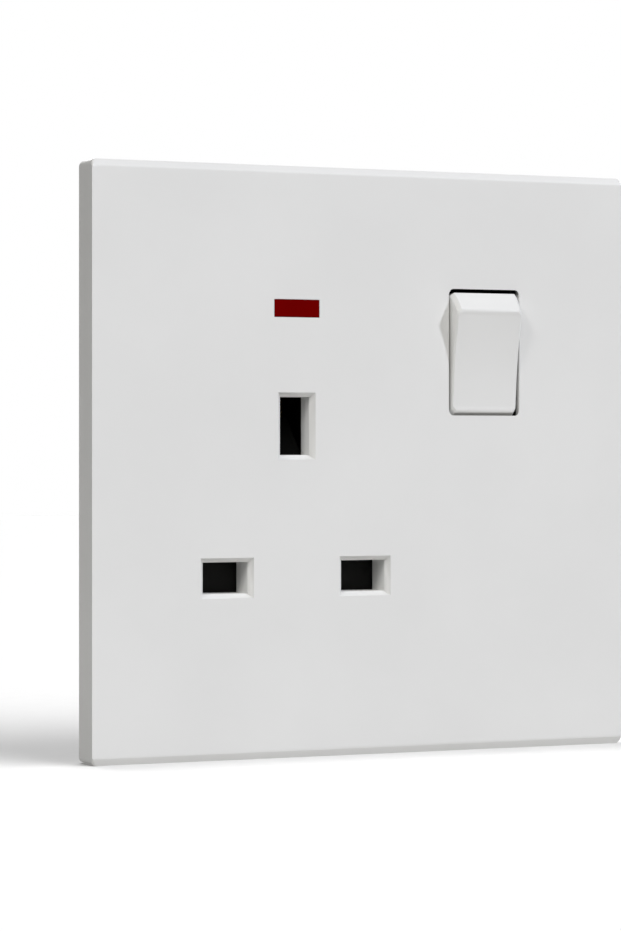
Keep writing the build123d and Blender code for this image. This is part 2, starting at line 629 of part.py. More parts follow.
with BuildPart() as contact_fulcrum:
    with BuildSketch(Plane.YZ.offset(SWITCH_X - SEESAW_W / 2)):
        with Locations((RIDGE_Y, SWITCH_Z)):
            Circle(RIDGE_R)
        with Locations(((RIDGE_Y + FLOOR_Y) / 2, SWITCH_Z)):
            Rectangle(FLOOR_Y - RIDGE_Y, 2 * RIDGE_R)
    extrude(amount=SEESAW_W)
    with BuildSketch(depth(FLOOR_Y)):
        with Locations((SWITCH_X, (SWITCH_Z - TERM_Z) / 2)):
            Rectangle(SEESAW_W, SWITCH_Z + TERM_Z)
        with Locations((LINE_TERM_X, -TERM_Z)):
            Rectangle(BLOCK_W, BLOCK_H)
            Circle(TERM_SCREW_R + TAIL_HOLE_FIT, mode=Mode.SUBTRACT)
    extrude(amount=STRIP_T)
contact_fulcrum.part.label = "contact_fulcrum"
export_step(contact_fulcrum.part, "parts/contact_fulcrum.step")

# See-saw: rocks on the fulcrum, drawn pressed in at the top, which is on
tilt = radians(SEESAW_TILT)
seesaw = Plane(
    origin=(SWITCH_X - SEESAW_W / 2, RIDGE_Y, SWITCH_Z), x_dir=(0, cos(tilt), -sin(tilt)), z_dir=(1, 0, 0)
)
seesaw_back = Plane(
    origin=(SWITCH_X, RIDGE_Y, SWITCH_Z), x_dir=(1, 0, 0), z_dir=(0, cos(tilt), -sin(tilt))
)
with BuildPart() as moving_contact:
    with BuildSketch(seesaw):
        with Locations((-RIDGE_R - SEESAW_SEAT - STRIP_T / 2, 0)):
            Rectangle(STRIP_T, 2 * SEESAW_ARM)
    extrude(amount=SEESAW_W)
moving_contact.part.label = "moving_contact"
export_step(moving_contact.part, "parts/moving_contact.step")

with BuildPart() as moving_rivet:
    with BuildSketch(seesaw_back.offset(-RIDGE_R - SEESAW_SEAT)):
        with Locations((0, -RIVET_ARM)):
            Circle(RIVET_R)
    extrude(amount=RIDGE_R)
moving_rivet.part.label = "moving_rivet"
export_step(moving_rivet.part, "parts/moving_rivet.step")

# Rocker: a dished paddle on two stubs, drawn pressed in at the bottom, which is on
on = turned(-ROCKER_W / 2, ROCK_HALF)
on_back = Plane(
    origin=PIVOT, x_dir=(1, 0, 0), z_dir=(0, cos(radians(ROCK_HALF)), sin(radians(ROCK_HALF)))
)
half_face = ROCKER_FACE / 2
face_v = sqrt(ROCKER_R**2 - half_face**2)
lip_v = sqrt(ROCKER_R**2 - ROCKER_LIP**2)
lip_end_v = lip_v - ROCKER_LIP_D * cos(radians(ROCK_HALF))
lip_end_w = ROCKER_LIP - ROCKER_LIP_D * sin(radians(ROCK_HALF))
middle = (asin(half_face / ROCKER_R) + asin(ROCKER_LIP / ROCKER_R)) / 2
end_v = ROCKER_R * cos(middle)
end_w = ROCKER_R * sin(middle)
with BuildPart() as rocker:
    with BuildSketch(on):
        with BuildLine():
            ThreePointArc((-face_v, -half_face), (-face_v + ROCKER_DISH, 0), (-face_v, half_face))
            ThreePointArc((-face_v, half_face), (-end_v, end_w), (-lip_v, ROCKER_LIP))
            Polyline(
                (-lip_v, ROCKER_LIP),
                (-lip_end_v, lip_end_w),
                (-lip_end_v, ROCKER_SKIRT),
                (-SKIRT_END, ROCKER_SKIRT),
                (-SKIRT_END, -ROCKER_SKIRT),
                (-lip_end_v, -ROCKER_SKIRT),
                (-lip_end_v, -lip_end_w),
                (-lip_v, -ROCKER_LIP),
            )
            ThreePointArc((-lip_v, -ROCKER_LIP), (-end_v, -end_w), (-face_v, -half_face))
        make_face()
    extrude(amount=ROCKER_W)
    lip_reach = hypot(lip_v + lip_end_v, ROCKER_LIP + lip_end_w) / 2
    outlines = rocker.edges().filter_by(Axis.X, reverse=True)
    chamfer(outlines.filter_by(lambda e: pivot_reach(e @ 0.5) > lip_reach - FIT), length=ROCKER_CORNER)
    dish = rocker.faces().filter_by(GeomType.CYLINDER).sort_by(lambda f: -f.radius)[0]
    chamfer(dish.edges(), length=ROCKER_EDGE)
    with BuildSketch(on_back.offset(-SKIRT_END)):
        Rectangle(ROCKER_W - 2 * ROCKER_WALL, 2 * (ROCKER_SKIRT - ROCKER_END_WALL))
    extrude(amount=-(face_v - ROCKER_DISH - ROCKER_FACE_T - SKIRT_END), mode=Mode.SUBTRACT)
    with BuildSketch(on_back.offset(TUBE_END)):
        Circle(TUBE_R)
    extrude(amount=-(TUBE_END + face_v - ROCKER_DISH - ROCKER_FACE_T / 2))
    with BuildSketch(on_back.offset(TUBE_END)):
        Circle(PLUNGER_R + PLUNGER_FIT)
    extrude(amount=-(TUBE_END + TUBE_FLOOR), mode=Mode.SUBTRACT)
    for side in (-1, 1):
        with BuildSketch(turned(side * (ROCKER_W - ROCKER_WALL) / 2, ROCK_HALF)):
            Circle(ROCKER_EAR_R)
            with Locations((-SKIRT_END, 0)):
                Rectangle(2 * SKIRT_END, 2 * ROCKER_EAR_R)
        extrude(amount=ROCKER_WALL / 2, both=True)
        with BuildSketch(turned(side * ROCKER_W / 2, 0)):
            Circle(STUB_R)
        extrude(amount=side * (LUG_T + STUB_FIT))
rocker.part.label = "rocker"
export_step(rocker.part, "parts/rocker.step")

with BuildPart() as switch_plunger:
    with BuildSketch(on_back.offset(PLUNGER_REACH)):
        Circle(PLUNGER_R)
    extrude(amount=-(PLUNGER_REACH - PLUNGER_BACK))
    chamfer(switch_plunger.edges().filter_by(GeomType.CIRCLE).sort_by(Axis.Y)[-1], length=PLUNGER_TIP)
switch_plunger.part.label = "switch_plunger"
export_step(switch_plunger.part, "parts/switch_plunger.step")

with BuildPart() as plunger_spring:
    foot = on_back.offset(-TUBE_FLOOR + COIL_WIRE_R)
    coil_l = TUBE_FLOOR + PLUNGER_BACK - 2 * COIL_WIRE_R
    with BuildLine() as coil:
        Helix(coil_l / COIL_TURNS, coil_l, COIL_R, center=foot.origin, direction=foot.z_dir)
    with BuildSketch(Plane(origin=coil.line @ 0, z_dir=coil.line % 0)):
        RegularPolygon(COIL_WIRE_R, 4)
    sweep(is_frenet=True)
plunger_spring.part.label = "plunger_spring"
export_step(plunger_spring.part, "parts/plunger_spring.step")

# Shutter: a black slide over the two live slots; the earth pin pushes its ramp and so moves it down
with BuildPart() as shutter:
    with BuildSketch(depth(SHUTTER_Y + SHUTTER_T)):
        with Locations((SOCKET_X, ROW_Z)):
            Rectangle(SHUTTER_W, SHUTTER_H)
        with Locations((SOCKET_X, (SHUTTER_TOP_Z + RAMP_LOW_Z) / 2)):
            Rectangle(STEM_W, RAMP_LOW_Z - SHUTTER_TOP_Z)
    extrude(amount=SHUTTER_T)
    with BuildSketch(Plane.YZ.offset(SOCKET_X - STEM_W / 2)):
        with BuildLine():
            Polyline(
                (RAMP_Y, RAMP_LOW_Z),
                (RAMP_Y + SHUTTER_TRAVEL, RAMP_LOW_Z + SHUTTER_TRAVEL),
                (RAMP_Y + SHUTTER_TRAVEL, RAMP_LOW_Z - RAMP_T),
                (SHUTTER_Y + SHUTTER_T, RAMP_LOW_Z - RAMP_FOOT),
                (SHUTTER_Y, RAMP_LOW_Z - RAMP_FOOT),
                (SHUTTER_Y, RAMP_LOW_Z - RAMP_LIP),
                (RAMP_Y, RAMP_LOW_Z - RAMP_LIP),
                close=True,
            )
        make_face()
    extrude(amount=STEM_W)
shutter.part.label = "shutter"
export_step(shutter.part, "parts/shutter.step")

SPRING_Z = -INSIDE / 2
with BuildPart() as shutter_spring:
    spring_foot = (SOCKET_X, SHUTTER_Y + SHUTTER_T / 2, SPRING_Z + SPRING_WIRE_R)
    spring_l = ROW_Z - SHUTTER_H / 2 - SPRING_Z - 2 * SPRING_WIRE_R
    with BuildLine() as coil:
        Helix(spring_l / SPRING_TURNS, spring_l, SPRING_COIL_R, center=spring_foot)
    with BuildSketch(Plane(origin=coil.line @ 0, z_dir=coil.line % 0)):
        RegularPolygon(SPRING_WIRE_R, 4)
    sweep(is_frenet=True)
shutter_spring.part.label = "shutter_spring"
export_step(shutter_spring.part, "parts/shutter_spring.step")

# Neon: a glass lamp behind the lens, its resistor and three bare leads
with BuildPart() as neon_lamp:
    with BuildSketch(Plane.YZ.offset(NEON_X - LAMP_L / 2)):
        with Locations((LAMP_Y, NEON_Z)):
            Circle(LAMP_R)
    extrude(amount=LAMP_L)
    chamfer(neon_lamp.edges().filter_by(GeomType.CIRCLE).sort_by(Axis.X)[0], length=LAMP_TIP)
neon_lamp.part.label = "neon_lamp"
export_step(neon_lamp.part, "parts/neon_lamp.step")

with BuildPart() as neon_resistor:
    with BuildSketch(Plane.XY.offset(RESISTOR_LOW_Z)):
        with Locations((RESISTOR_X, LAMP_Y)):
            Circle(RESISTOR_R)
    extrude(amount=RESISTOR_TOP_Z - RESISTOR_LOW_Z)
neon_resistor.part.label = "neon_resistor"
export_step(neon_resistor.part, "parts/neon_resistor.step")

JAW_TOP_Z = ROW_Z + CLIP_WIDE + STRIP_T
leads = [
    [
        (NEON_X - LAMP_L / 2, LAMP_Y, NEON_Z),
        (RESISTOR_X, LAMP_Y, NEON_Z),
        (RESISTOR_X, LAMP_Y, RESISTOR_TOP_Z),
    ],
    [
        (RESISTOR_X, LAMP_Y, RESISTOR_LOW_Z),
        (RESISTOR_X, LAMP_Y, JAW_TOP_Z + LEAD_LOW),
        (RESISTOR_X, LEAD_BACK_Y, JAW_TOP_Z + LEAD_LOW),
        (RESISTOR_X, LEAD_BACK_Y, JAW_TOP_Z),
    ],
    [
        (NEON_X + LAMP_L / 2, LAMP_Y, NEON_Z),
        (BAR_X, LAMP_Y, NEON_Z),
        (BAR_X, CLIP_BASE_Y, NEON_Z),
    ],
]
with BuildPart() as neon_leads:
    for points in leads:
        with BuildLine() as run:
            FilletPolyline(*points, radius=LEAD_BEND_R)
        with BuildSketch(Plane(origin=run.line @ 0, z_dir=run.line % 0)):
            RegularPolygon(LEAD_R, 6)
        sweep()
neon_leads.part.label = "neon_leads"
export_step(neon_leads.part, "parts/neon_leads.step")
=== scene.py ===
# %% [markdown]
# # A switched socket outlet, dressed in Blender
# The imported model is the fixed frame: every solid is already at its real size and place, in metres. Here
# each solid gets the rounded edges, wire coils, glass and surface finish that the real pieces have.

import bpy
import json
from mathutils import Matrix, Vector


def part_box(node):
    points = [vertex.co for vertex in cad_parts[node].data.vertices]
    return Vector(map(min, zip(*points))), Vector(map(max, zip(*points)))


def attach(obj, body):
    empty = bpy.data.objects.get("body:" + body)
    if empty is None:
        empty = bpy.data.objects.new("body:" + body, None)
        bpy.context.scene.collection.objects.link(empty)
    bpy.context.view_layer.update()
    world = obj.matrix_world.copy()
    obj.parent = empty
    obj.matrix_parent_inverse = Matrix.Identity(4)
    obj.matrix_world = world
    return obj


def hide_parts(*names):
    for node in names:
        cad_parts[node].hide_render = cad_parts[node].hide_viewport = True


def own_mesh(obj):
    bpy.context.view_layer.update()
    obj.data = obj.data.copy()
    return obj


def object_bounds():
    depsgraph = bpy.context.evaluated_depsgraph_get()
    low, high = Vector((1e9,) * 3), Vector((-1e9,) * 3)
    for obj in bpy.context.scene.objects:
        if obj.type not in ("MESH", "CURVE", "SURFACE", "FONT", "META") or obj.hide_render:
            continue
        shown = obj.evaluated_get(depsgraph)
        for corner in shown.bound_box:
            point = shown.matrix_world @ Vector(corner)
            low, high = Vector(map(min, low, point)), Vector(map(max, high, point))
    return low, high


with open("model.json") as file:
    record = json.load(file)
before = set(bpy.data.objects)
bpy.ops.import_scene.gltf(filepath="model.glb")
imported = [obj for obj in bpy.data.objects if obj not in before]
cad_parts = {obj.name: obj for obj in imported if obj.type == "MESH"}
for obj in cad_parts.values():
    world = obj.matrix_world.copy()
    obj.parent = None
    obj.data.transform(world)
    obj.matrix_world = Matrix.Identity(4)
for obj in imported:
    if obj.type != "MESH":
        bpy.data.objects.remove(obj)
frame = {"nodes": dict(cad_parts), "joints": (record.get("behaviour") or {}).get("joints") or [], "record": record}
cad_box = [list(corner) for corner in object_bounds()]

import json
from math import copysign, cos, degrees, pi, radians, sin

import bmesh
import bpy
from mathutils import Vector

MM = 0.001
scene = bpy.context.scene
nodes = frame["nodes"]
record = frame["record"]
body_of_node = {node: body for body, group in record["behaviour"]["bodies"].items() for node in group}
slot_of_node = {row["node"]: row["material_slot"] for row in record["subparts"]}

# %% [markdown]
# ## Camera
# The photograph was taken from the left of the socket, level with its middle, through a long lens. The
# pin slots stand at a standard pitch, so a camera could be fitted to them: its turn, its distance and
# the row of the image where the horizon lies. A small vertical shift puts that row where it belongs
# without tilting the camera, which keeps the plate's upright edges upright, as they are in the
# photograph.

# %% Camera at the photograph's angle
PHOTO_H = 931
FOCAL_PX = 3210.3
HORIZON_ROW = 442.56
VIEW_TURN = radians(24.423)
CAMERA_PLACE = Vector((-204.757, -436.191, 2.812)) * MM
SENSOR_MM = 36.0

camera_data = bpy.data.cameras.new("photo_camera")
camera_data.sensor_width = SENSOR_MM
camera_data.lens = FOCAL_PX / PHOTO_H * SENSOR_MM
camera_data.shift_y = (HORIZON_ROW - PHOTO_H / 2) / PHOTO_H
camera_data.clip_start = 10 * MM
camera = bpy.data.objects.new("photo_camera", camera_data)
camera.location = CAMERA_PLACE
camera.rotation_euler = (pi / 2, 0, -VIEW_TURN)
scene.collection.objects.link(camera)
scene.camera = camera
print("lens", round(camera_data.lens, 1), "mm, shift", round(camera_data.shift_y, 4))

# %% [markdown]
# ## Colour and nodes
# Colours are written as sRGB hex values, the way a paint chart gives them, and one function turns them
# into the linear light that the shader works in. One more function adds a node with its settings and
# links. Patterns get their scale from a real size in millimetres, so the third helper turns that into a
# noise scale.

# %% Helpers for materials
scene.view_settings.view_transform = "Standard"


def colour(hex_code):
    parts = [int(hex_code[i:i + 2], 16) / 255 for i in (1, 3, 5)]
    return [p / 12.92 if p <= 0.04045 else ((p + 0.055) / 1.055) ** 2.4 for p in parts] + [1.0]


def add_node(tree, kind, settings=None, inputs=None, links=None):
    made = tree.nodes.new("ShaderNode" + kind)
    for name, value in (settings or {}).items():
        setattr(made, name, value)
    for name, value in (inputs or {}).items():
        made.inputs[name].default_value = value
    for name, socket in (links or {}).items():
        tree.links.new(socket, made.inputs[name])
    return made


def scale_for(size_mm):
    return 1 / (size_mm * MM)


def new_material(name):
    material = bpy.data.materials.new(name)
    material.use_nodes = True
    tree = material.node_tree
    tree.nodes.clear()
    place = add_node(tree, "TexCoord").outputs["Object"]
    return material, tree, place


def finish_material(tree, shader):
    add_node(tree, "OutputMaterial", links={"Surface": shader.outputs["BSDF"]})


print("the plate's white in linear light:", [round(c, 3) for c in colour("#E4E4E1")])

# %% [markdown]
# ## Studio
# The photograph was lit from two sides. A small key lamp on the upper right draws the crisp shadow
# beside the rocker. A long strip box, from the left round to the front, reaches into the slots: it is
# narrow from top to bottom, so the slots' top edges draw clear shadows in them, and long from side to
# side, so nothing throws a clear shadow to the right. White light also comes up from the table, which is
# why the lower bevel isn't dark. Sun lamps stand for them, three for the strip, because a sun lights
# every piece alike and its angle alone sets how soft its shadows are. A weak surround fills the rest. It
# is brighter behind, where a lamp also lights the back, so that the metal there has something to
# reflect.

# %% Surround
SURROUND_FRONT = 0.07
SURROUND_BACK = 0.10
WARM = (1.0, 0.99, 0.985)
WHITE = (1.0, 1.0, 1.0)

world = bpy.data.worlds.new("white_studio")
scene.world = world
world.use_nodes = True
sky = world.node_tree
sky.nodes.clear()
toward = add_node(sky, "TexCoord").outputs["Generated"]
depth = add_node(sky, "SeparateXYZ", links={"Vector": toward}).outputs["Y"]
glow = add_node(
    sky,
    "MapRange",
    inputs={"From Min": -0.1, "From Max": 0.1, "To Min": SURROUND_FRONT, "To Max": SURROUND_BACK},
    links={"Value": depth},
)
soft = add_node(sky, "Background", inputs={"Color": (*WARM, 1)}, links={"Strength": glow.outputs[0]})
backdrop = add_node(sky, "Background", inputs={"Color": (*WHITE, 1), "Strength": 1.0})
seen = add_node(sky, "LightPath").outputs["Is Camera Ray"]
surround = add_node(sky, "MixShader", links={0: seen, 1: soft.outputs[0], 2: backdrop.outputs[0]})
add_node(sky, "OutputWorld", links={"Surface": surround.outputs[0]})
print("surround of", len(sky.nodes), "nodes")

# %% Lamps
COOL = (1.0, 1.02, 1.11)
# For each lamp: where its light comes from, its strength, its spread in degrees and its tint.
FRONT_LAMPS = {
    "key_lamp": ((0.65, -0.55, 0.53), 1.86, 6, COOL),
    "strip_left": ((-0.69, -0.38, 0.61), 1.02, 14, WARM),
    "strip_middle": ((-0.46, -0.65, 0.60), 0.6, 18, WARM),
    "strip_front": ((-0.12, -0.90, 0.42), 0.46, 22, WARM),
    "table_glow": ((0.05, -0.38, -0.92), 1.12, 55, WARM),
    "rear_lamp": ((0.45, 0.80, 0.40), 2.0, 40, WHITE),
}
TABLE_LAMPS = {
    "table_side_lamp": ((0.52, -0.52, 0.68), 2.35, 60, WHITE),
    "table_top_lamp": ((0.0, 0.11, 0.994), 1.62, 12, WHITE),
}


def add_lamp(name, comes_from, strength, spread, tint):
    lamp_data = bpy.data.lights.new(name, "SUN")
    lamp_data.energy = strength
    lamp_data.color = tint
    lamp_data.angle = radians(spread)
    lamp = bpy.data.objects.new(name, lamp_data)
    lamp.rotation_euler = Vector(comes_from).to_track_quat("Z", "Y").to_euler()
    scene.collection.objects.link(lamp)
    return lamp


front_lamps = [add_lamp(name, *settings) for name, settings in FRONT_LAMPS.items()]
table_lamps = [add_lamp(name, *settings) for name, settings in TABLE_LAMPS.items()]
print(len(front_lamps), "lamps for the part,", len(table_lamps), "for the table")

# %% [markdown]
# ## Table
# The part stands on a sheet of white paper. The table lamps light only the paper, and the other lamps
# pass through it: the light that comes up from a table is then a lamp of its own, which can be set by
# itself. Light linking does this, with the paper as the one thing that a lamp lights, or leaves out.

# %% Sheet of paper
FLOOR_HALF = 1.5
PULP_MM = 4.0
floor_mesh = bpy.data.meshes.new("floor")
floor_z = cad_box[0][2]
corners = [(x * FLOOR_HALF, y * FLOOR_HALF, floor_z) for x, y in ((-1, -1), (1, -1), (1, 1), (-1, 1))]
floor_mesh.from_pydata(corners, [], [(0, 1, 2, 3)])
floor = bpy.data.objects.new("floor", floor_mesh)
scene.collection.objects.link(floor)

paper, paper_tree, paper_place = new_material("white_paper")
pulp = add_node(
    paper_tree, "TexNoise", inputs={"Scale": scale_for(PULP_MM)}, links={"Vector": paper_place}
)
tone = add_node(paper_tree, "ValToRGB", links={"Fac": pulp.outputs["Fac"]})
tone.color_ramp.elements[0].color = colour("#F6F6F6")
tone.color_ramp.elements[1].color = colour("#FAFAFA")
sheet = add_node(
    paper_tree,
    "BsdfPrincipled",
    inputs={"Roughness": 0.9, "Specular IOR Level": 0.1},
    links={"Base Color": tone.outputs["Color"]},
)
finish_material(paper_tree, sheet)
floor.data.materials.append(paper)
floor.visible_diffuse = False
print("floor at", round(floor_z / MM, 2), "mm")

# %% Lamps linked to the paper
linked = {}
for state in ("EXCLUDE", "INCLUDE"):
    linked[state] = bpy.data.collections.new("paper_" + state.lower())
    linked[state].objects.link(floor)
    linked[state].collection_objects[0].light_linking.link_state = state
for lamp in front_lamps:
    lamp.light_linking.receiver_collection = linked["EXCLUDE"]
    lamp.light_linking.blocker_collection = linked["EXCLUDE"]
for lamp in table_lamps:
    lamp.light_linking.receiver_collection = linked["INCLUDE"]
print("linked by", sorted(group.name for group in linked.values()))

# %% [markdown]
# ## Moulded plastics
# The plate and the rocker are white polycarbonate, moulded in a tool whose faces were spark eroded: that
# gives the eye a soft satin sheen with a grain finer than a hair. The grain is drawn about three times
# as coarse as the real one so that it shows at all. The frame and the housing behind are dark
# glass-filled nylon, duller and with long flow marks, and the shutter is black acetal, which is slippery
# and a little smoother.


# %% A moulded plastic
def moulded_plastic(
    name, hex_low, hex_high, rough_low, rough_high, ior, flow_mm, grain_mm, grain_depth_mm, gloss=0.5
):
    material, tree, place = new_material(name)
    flow = add_node(
        tree, "TexNoise", inputs={"Scale": scale_for(flow_mm), "Detail": 3}, links={"Vector": place}
    )
    tone = add_node(tree, "ValToRGB", links={"Fac": flow.outputs["Fac"]})
    tone.color_ramp.elements[0].position = 0.35
    tone.color_ramp.elements[0].color = colour(hex_low)
    tone.color_ramp.elements[1].position = 0.65
    tone.color_ramp.elements[1].color = colour(hex_high)
    grain = add_node(
        tree, "TexNoise", inputs={"Scale": scale_for(grain_mm), "Detail": 4}, links={"Vector": place}
    )
    rough = add_node(
        tree,
        "MapRange",
        inputs={"From Min": 0.3, "From Max": 0.7, "To Min": rough_low, "To Max": rough_high},
        links={"Value": grain.outputs["Fac"]},
    )
    bump = add_node(
        tree,
        "Bump",
        inputs={"Strength": 0.5, "Distance": grain_depth_mm * MM},
        links={"Height": grain.outputs["Fac"]},
    )
    shader = add_node(
        tree,
        "BsdfPrincipled",
        inputs={"IOR": ior, "Specular IOR Level": gloss},
        links={
            "Base Color": tone.outputs["Color"],
            "Roughness": rough.outputs[0],
            "Normal": bump.outputs[0],
        },
    )
    finish_material(tree, shader)
    return material


finishes = {}
POLYCARBONATE_IOR = 1.585
# White polycarbonate from a spark-eroded tool: satin, nearly even, with a faint grain.
finishes["white_plastic"] = moulded_plastic(
    "polycarbonate_white", "#E1E1DE", "#E4E4E1", 0.42, 0.52, POLYCARBONATE_IOR, 22, 0.35, 0.004
)
print("plate is", finishes["white_plastic"].name)

# %% The other moulded finishes
NYLON_IOR = 1.53
ACETAL_IOR = 1.48
# Dark glass-filled nylon: dull, with flow marks where the fibres line up.
finishes["frame_plastic"] = moulded_plastic(
    "nylon_dark", "#1A1A19", "#222221", 0.45, 0.65, NYLON_IOR, 9, 0.5, 0.012
)
finishes["housing_plastic"] = moulded_plastic(
    "nylon_dark_housing", "#1C1C1B", "#262625", 0.45, 0.65, NYLON_IOR, 12, 0.5, 0.012
)
# Black acetal for the sliding shutter: self-coloured and waxy, with its gloss held low in the slots.
finishes["black_plastic"] = moulded_plastic(
    "acetal_black", "#10100F", "#151514", 0.40, 0.55, ACETAL_IOR, 6, 0.4, 0.006, gloss=0.1
)
# Natural nylon for the plunger: left uncoloured, so it is a warm milky white.
finishes["plunger_plastic"] = moulded_plastic(
    "nylon_natural", "#DDD6C4", "#E8E2D3", 0.30, 0.45, NYLON_IOR, 3, 0.3, 0.004
)
print(sorted(finishes))

# %% [markdown]
# ## Red lens
# The neon window is clear red polycarbonate from a polished tool, so its front is smooth. Unlit, hardly
# any light comes back through it, and it reads as a deep even red. The photograph shows no glint on it,
# so its gloss is held low.


# %% Clear red polycarbonate
HAZE_MM = 2.5


def red_lens():
    material, tree, place = new_material("polycarbonate_red_clear")
    haze = add_node(
        tree, "TexNoise", inputs={"Scale": scale_for(HAZE_MM), "Detail": 2}, links={"Vector": place}
    )
    tone = add_node(tree, "ValToRGB", links={"Fac": haze.outputs["Fac"]})
    tone.color_ramp.elements[0].color = colour("#680000")
    tone.color_ramp.elements[1].color = colour("#700000")
    shader = add_node(
        tree,
        "BsdfPrincipled",
        inputs={"Roughness": 0.12, "IOR": POLYCARBONATE_IOR, "Specular IOR Level": 0.03},
        links={"Base Color": tone.outputs["Color"]},
    )
    finish_material(tree, shader)
    return material


finishes["red_lens"] = red_lens()
print("lens is", finishes["red_lens"].name)

# %% [markdown]
# ## Metals
# Contacts are stamped from rolled brass strip, which keeps the fine lines of the rolls along its length.
# Terminals are cut from drawn brass bar and look brighter. Screws are zinc plated steel with a mottled
# passivated skin, springs are drawn steel wire, and the contact tips are silver alloy. A metal's colour
# is its reflection, so it is set on the base colour with metallic at one, and the default index of
# refraction stays.


# %% A metal with drawn or rolled lines
TARNISH_MM = 5.0


def lined_metal(name, hex_low, hex_high, rough_low, rough_high, line_mm, line_depth_mm, stretch):
    material, tree, place = new_material(name)
    squeezed = add_node(tree, "Mapping", inputs={"Scale": stretch}, links={"Vector": place})
    lines = add_node(
        tree,
        "TexNoise",
        inputs={"Scale": scale_for(line_mm), "Detail": 3},
        links={"Vector": squeezed.outputs[0]},
    )
    tarnish = add_node(
        tree, "TexNoise", inputs={"Scale": scale_for(TARNISH_MM), "Detail": 4}, links={"Vector": place}
    )
    tone = add_node(tree, "ValToRGB", links={"Fac": tarnish.outputs["Fac"]})
    tone.color_ramp.elements[0].position = 0.3
    tone.color_ramp.elements[0].color = colour(hex_low)
    tone.color_ramp.elements[1].position = 0.7
    tone.color_ramp.elements[1].color = colour(hex_high)
    rough = add_node(
        tree,
        "MapRange",
        inputs={"From Min": 0.3, "From Max": 0.7, "To Min": rough_low, "To Max": rough_high},
        links={"Value": lines.outputs["Fac"]},
    )
    bump = add_node(
        tree,
        "Bump",
        inputs={"Strength": 0.4, "Distance": line_depth_mm * MM},
        links={"Height": lines.outputs["Fac"]},
    )
    shader = add_node(
        tree,
        "BsdfPrincipled",
        inputs={"Metallic": 1.0},
        links={
            "Base Color": tone.outputs["Color"],
            "Roughness": rough.outputs[0],
            "Normal": bump.outputs[0],
        },
    )
    finish_material(tree, shader)
    return material


ALONG_Y = (1.0, 0.08, 1.0)
# Rolled brass strip, dulled a little by handling.
finishes["contact_brass"] = lined_metal(
    "brass_rolled", "#C9A35A", "#DDBB74", 0.22, 0.38, 0.2, 0.003, ALONG_Y
)
print("contacts are", finishes["contact_brass"].name)

# %% The other metal finishes
ALONG_Z = (1.0, 1.0, 0.08)
ALL_WAYS = (1.0, 1.0, 1.0)
# Drawn brass bar for the terminals and eyelets.
finishes["terminal_brass"] = lined_metal(
    "brass_drawn", "#D0AC62", "#E3C583", 0.18, 0.32, 0.15, 0.003, ALONG_Z
)
# Silver alloy tips, matt from the press.
finishes["silver_tip"] = lined_metal(
    "silver_alloy", "#CFCECA", "#DDDDD9", 0.25, 0.4, 0.25, 0.003, ALL_WAYS
)
# Zinc plate on steel, with a faint blue passivated mottle.
finishes["zinc_steel"] = lined_metal(
    "steel_zinc_plated", "#AEB2B6", "#C3C6C8", 0.25, 0.42, 0.3, 0.004, ALL_WAYS
)
# Drawn spring wire.
finishes["spring_steel"] = lined_metal(
    "steel_spring_wire", "#8E9092", "#A6A8AA", 0.2, 0.35, 0.1, 0.002, ALONG_Z
)
# Tinned copper leads.
finishes["tinned_wire"] = lined_metal(
    "copper_tinned", "#BDBDBB", "#CFCFCC", 0.25, 0.4, 0.2, 0.003, ALL_WAYS
)
print(len(finishes), "finishes")

# %% [markdown]
# ## Lamp glass and resistor lacquer
# The neon lamp is a small bulb of clear soda glass. The resistor is a ceramic rod under a thick tan
# lacquer with painted colour bands, which are drawn here from the distance along the rod, because that
# is how they are painted.

# %% Soda glass
GLASS_IOR = 1.52
RIPPLE_MM = 1.5
RIPPLE_DEPTH_MM = 0.01


def lamp_glass():
    material, tree, place = new_material("glass_soda_lime")
    ripple = add_node(tree, "TexNoise", inputs={"Scale": scale_for(RIPPLE_MM)}, links={"Vector": place})
    bump = add_node(
        tree,
        "Bump",
        inputs={"Strength": 0.2, "Distance": RIPPLE_DEPTH_MM * MM},
        links={"Height": ripple.outputs["Fac"]},
    )
    shader = add_node(
        tree,
        "BsdfPrincipled",
        inputs={
            "Base Color": colour("#F3F1EC"),
            "Roughness": 0.03,
            "IOR": GLASS_IOR,
            "Transmission Weight": 1.0,
        },
        links={"Normal": bump.outputs[0]},
    )
    finish_material(tree, shader)
    return material


# Clear soda glass, drawn into a tube in the flame: smooth, with a faint ripple.
finishes["lamp_glass"] = lamp_glass()
print("lamp is", finishes["lamp_glass"].name)

# %% Banded lacquer
LACQUER_IOR = 1.5
RUN_MM = 0.8
RUN_DEPTH_MM = 0.03
TAN = "#B89F74"
BAND_HEX = (TAN, "#5A3418", TAN, "#1A1A1A", TAN, "#D6B82C", TAN, "#B08A2E", TAN)


def banded_lacquer():
    material, tree, place = new_material("lacquer_tan_banded")
    low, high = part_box("neon_resistor")
    height = add_node(tree, "SeparateXYZ", links={"Vector": place}).outputs["Z"]
    along = add_node(
        tree, "MapRange", inputs={"From Min": low[2], "From Max": high[2]}, links={"Value": height}
    )
    bands = add_node(tree, "ValToRGB", links={"Fac": along.outputs[0]})
    ramp = bands.color_ramp
    ramp.interpolation = "CONSTANT"
    for i, hex_code in enumerate(BAND_HEX):
        stop = ramp.elements[i] if i < 2 else ramp.elements.new(i / len(BAND_HEX))
        stop.position = i / len(BAND_HEX)
        stop.color = colour(hex_code)
    runs = add_node(tree, "TexNoise", inputs={"Scale": scale_for(RUN_MM)}, links={"Vector": place})
    bump = add_node(
        tree,
        "Bump",
        inputs={"Strength": 0.3, "Distance": RUN_DEPTH_MM * MM},
        links={"Height": runs.outputs["Fac"]},
    )
    shader = add_node(
        tree,
        "BsdfPrincipled",
        inputs={"Roughness": 0.3, "IOR": LACQUER_IOR},
        links={"Base Color": bands.outputs["Color"], "Normal": bump.outputs[0]},
    )
    finish_material(tree, shader)
    return material


